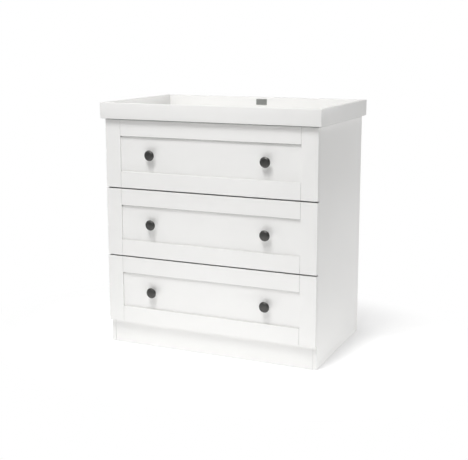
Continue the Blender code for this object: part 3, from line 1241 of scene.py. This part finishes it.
@dataclass
class Drawer:
    """A drawer's fine pieces: knobs, runners, cam locks, screws through its box, and bumpers."""

    shop: FinishShop
    body: Body
    cam_radius: float = 0.0075
    cam_rise: float = 0.0006
    cam_back: float = 0.034
    cam_shares: tuple[float, ...] = (0.30, 0.75)
    screw_radius: float = 0.0036
    screw_rise: float = 0.0008
    screw_shares: tuple[float, ...] = (0.30, 0.60, 0.88)
    bumper_radius: float = 0.0040
    bumper_rise: float = 0.0007
    bumper_inset: float = 0.008
    bumper_margin: float = 0.022

    def build(self) -> None:
        """Makes everything on the drawer."""
        knob = Knob(self.shop)
        runner = Runner(self.shop)
        for side in Side:
            knob.build(self.body, side)
            runner.build(self.body, side)
            self._cams(side)
            self._box_screws(side)
        self._bumpers()

    def _cams(self, side: Side) -> None:
        """Makes the cam locks in a box side's inner face, near the front.

        Args:
            side: Which box side.
        """
        low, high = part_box(f"{self.body.value}_box_{side.word}")
        rise = self.cam_rise
        cam = [
            (0.0, rise),
            (0.16 * self.cam_radius, rise),
            (0.55 * self.cam_radius, rise),
            (0.90 * self.cam_radius, rise),
            (self.cam_radius, 0.5 * rise),
            (self.cam_radius, 0.0),
            (0.0, 0.0),
        ]
        blank = Blank()
        for share in self.cam_shares:
            height = low.z + share * (high.z - low.z)
            where = Vector((side.inner((low, high)), low.y + self.cam_back, height))
            blank.turned(cam, where, Facing.across(side, False), 16, recess=0.8 * rise)
        name = f"{self.body.value}_cam_locks_{side.word}"
        blank.fit(name, self.shop.get(ZINC), self.body)

    def _box_screws(self, side: Side) -> None:
        """Makes the screws through a box side into the drawer's back.

        Args:
            side: Which box side.
        """
        low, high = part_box(f"{self.body.value}_box_{side.word}")
        back_low, back_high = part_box(f"{self.body.value}_box_back")
        blank = Blank()
        for share in self.screw_shares:
            height = low.z + share * (high.z - low.z)
            where = Vector((side.outer((low, high)), (back_low.y + back_high.y) / 2.0, height))
            blank.screw(where, Facing.across(side, True), self.screw_radius, self.screw_rise)
        name = f"{self.body.value}_box_screws_{side.word}"
        blank.fit(name, self.shop.get(ZINC), self.body)

    def _bumpers(self) -> None:
        """Makes the four bumpers on the back of the front, where it meets the side panels."""
        pad = [
            *dome(self.bumper_radius - 0.0004, 0.7 * self.bumper_rise, 0.3 * self.bumper_rise, 4),
            (self.bumper_radius, 0.3 * self.bumper_rise),
            (self.bumper_radius, 0.0),
            (0.0, 0.0),
        ]
        blank = Blank()
        for side in Side:
            low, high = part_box(f"{self.body.value}_stile_{side.word}")
            across = side.outer((low, high)) - side.value * self.bumper_inset
            for height in (low.z + self.bumper_margin, high.z - self.bumper_margin):
                where = Vector((across, high.y, height))
                blank.turned(pad, where, Facing.BACKWARDS, 20)
        blank.fit(f"{self.body.value}_bumpers", self.shop.get(POLYMER), self.body)


# ---------------------------------------------------------------------------------------------------
# Studio
# ---------------------------------------------------------------------------------------------------


@dataclass(frozen=True)
class Softbox:
    """A square area light."""

    name: str
    place: Point
    aim: Point
    size: float
    power: float

    def hang(self) -> None:
        """Adds the light, facing its aim."""
        light = bpy.data.lights.new(self.name, "AREA")
        light.size = self.size
        light.energy = self.power
        lamp = bpy.data.objects.new(self.name, light)
        lamp.location = self.place
        towards = Vector(self.aim) - Vector(self.place)
        lamp.rotation_euler = towards.to_track_quat("-Z", "Y").to_euler()
        bpy.context.scene.collection.objects.link(lamp)


@dataclass(frozen=True)
class Pool:
    """A pool of light that shines up through the floor, with a soft edge."""

    place: Point
    strength: float
    full: float = 0.4
    gone: float = 1.6


@dataclass
class Studio:
    """A white floor lit from below and above, soft lights, and the camera."""

    lens: float = 70.64
    camera_place: Point = (1.5426, -3.5182, 1.2711)
    camera_turn: float = 23.79
    camera_tilt: float = 10.03
    shift: float = -0.06
    sky: float = 0.155
    floor_half: float = 30.0
    floor_tone: float = 0.86
    footprint: Point = (0.62, 0.45, 1.0)
    fade: tuple[float, float] = (1.05, 1.9)
    # Painted contact shadow on the floor: how far its ambient occlusion looks, and the floor's tone left at
    # its darkest.
    contact: float = 0.13
    painted_shadow_tone: float = 0.42
    softboxes: tuple[Softbox, ...] = (
        Softbox("key", (0.0, -3.0, 4.6), (0.0, -0.28, 0.5), 1.6, 87.2),
        Softbox("key_high", (0.0, -1.5, 3.4), (0.0, -0.28, 0.5), 0.7, 36.4),
        Softbox("top_left", (-2.4, -0.4, 2.8), (0.0, 0.0, 0.3), 2.0, 31.1),
        Softbox("right_back", (3.0, 2.6, 1.8), (0.0, 0.0, 0.5), 2.0, 62.2),
    )
    pools: tuple[Pool, ...] = (
        Pool((0.0, -1.4, 0.0), 0.429),
        Pool((1.7, 0.0, 0.0), 0.189),
        Pool((0.0, 0.0, 0.0), 0.405),
    )

    def build(self) -> None:
        """Makes the floor, the world, the lights and the camera."""
        self._floor()
        self._world()
        for softbox in self.softboxes:
            softbox.hang()
        self._camera()

    def _floor(self) -> None:
        """A pale floor that fades into the white behind it, a short way from the object."""
        shape = bmesh.new()
        bmesh.ops.create_grid(shape, x_segments=1, y_segments=1, size=self.floor_half)
        mesh = bpy.data.meshes.new("studio_floor")
        shape.to_mesh(mesh)
        shape.free()
        floor = bpy.data.objects.new("studio_floor", mesh)
        bpy.context.scene.collection.objects.link(floor)
        mesh.materials.append(self._floor_material())

    def _floor_material(self) -> bpy.types.Material:
        """Builds the floor's finish.

        Returns:
            Matt white with pools of light in it. The camera sees a painted shadow on it close under the
            object, and plain white further off.
        """
        made, wiring, _ = start_material("studio_floor")
        made.node_tree.nodes.remove(made.node_tree.nodes["Principled BSDF"])
        glow = 0.0
        for pool in self.pools:
            away = wiring.vector("DISTANCE", wiring.place(), pool.place, output="Value")
            light = wiring.rescale(away, (pool.gone, pool.full), (0.0, pool.strength), "SMOOTHSTEP")
            glow = wiring.math("ADD", light, glow)
        seen = wiring.node("ShaderNodeLightPath").outputs["Is Camera Ray"]
        # Painted shadow: for camera rays only, ambient occlusion darkens the floor's colour and glow close
        # under the object.
        painted_shadow_mask = EFFECTS.crevice.use(wiring, Distance=self.contact, Open=1.0, Tight=0.0)
        contact = wiring.math("MULTIPLY", painted_shadow_mask, seen)
        shadow = wiring.rescale(contact, target=(1.0, self.painted_shadow_tone))
        tone = wiring.math("MULTIPLY", shadow, self.floor_tone)
        grey = wiring.node("ShaderNodeCombineColor", {0: tone, 1: tone, 2: tone}).outputs[0]
        paper = wiring.node("ShaderNodeBsdfDiffuse", {"Color": grey})
        lit = wiring.node("ShaderNodeEmission", {"Strength": wiring.math("MULTIPLY", glow, shadow)})
        near = wiring.node("ShaderNodeAddShader", {0: paper.outputs[0], 1: lit.outputs[0]})
        spread = wiring.vector("DIVIDE", wiring.place(), self.footprint)
        away = wiring.vector("LENGTH", spread, output="Value")
        far = wiring.rescale(away, self.fade, curve="SMOOTHSTEP")
        white = wiring.node("ShaderNodeEmission", {"Strength": 1.0})
        inputs = {0: wiring.math("MULTIPLY", far, seen), 1: near.outputs[0], 2: white.outputs[0]}
        mixed = wiring.node("ShaderNodeMixShader", inputs)
        wiring.set(made.node_tree.nodes["Material Output"].inputs["Surface"], mixed.outputs[0])
        return made

    def _world(self) -> None:
        """A soft surround that the camera sees as white."""
        world = bpy.data.worlds.new("studio")
        world.use_nodes = True
        bpy.context.scene.world = world
        wiring = Wiring(world.node_tree)
        seen = wiring.node("ShaderNodeLightPath").outputs["Is Camera Ray"]
        back = world.node_tree.nodes["Background"].inputs
        wiring.set(back["Color"], (1.0, 1.0, 1.0, 1.0))
        wiring.set(back["Strength"], wiring.rescale(seen, target=(self.sky, 1.0)))

    def _camera(self) -> None:
        """A camera in front, to the right and a little above, that looks slightly down."""
        data = bpy.data.cameras.new("camera")
        data.lens = self.lens
        data.shift_y = self.shift
        camera = bpy.data.objects.new("camera", data)
        camera.location = self.camera_place
        camera.rotation_euler = (math.radians(90.0 - self.camera_tilt), 0.0, math.radians(self.camera_turn))
        bpy.context.scene.collection.objects.link(camera)
        bpy.context.scene.camera = camera
        bpy.context.scene.view_settings.view_transform = "Standard"


def main() -> None:
    """Builds the looks and reports each piece."""
    logging.basicConfig(level=logging.INFO, format="%(message)s")
    shop = FinishShop()
    shop.dress_nodes()
    Tray(shop).build()
    BackFixings(shop).build()
    for body in DRAWER_BODIES:
        Drawer(shop, body).build()
    Studio().build()


if __name__ == "__main__":
    main()
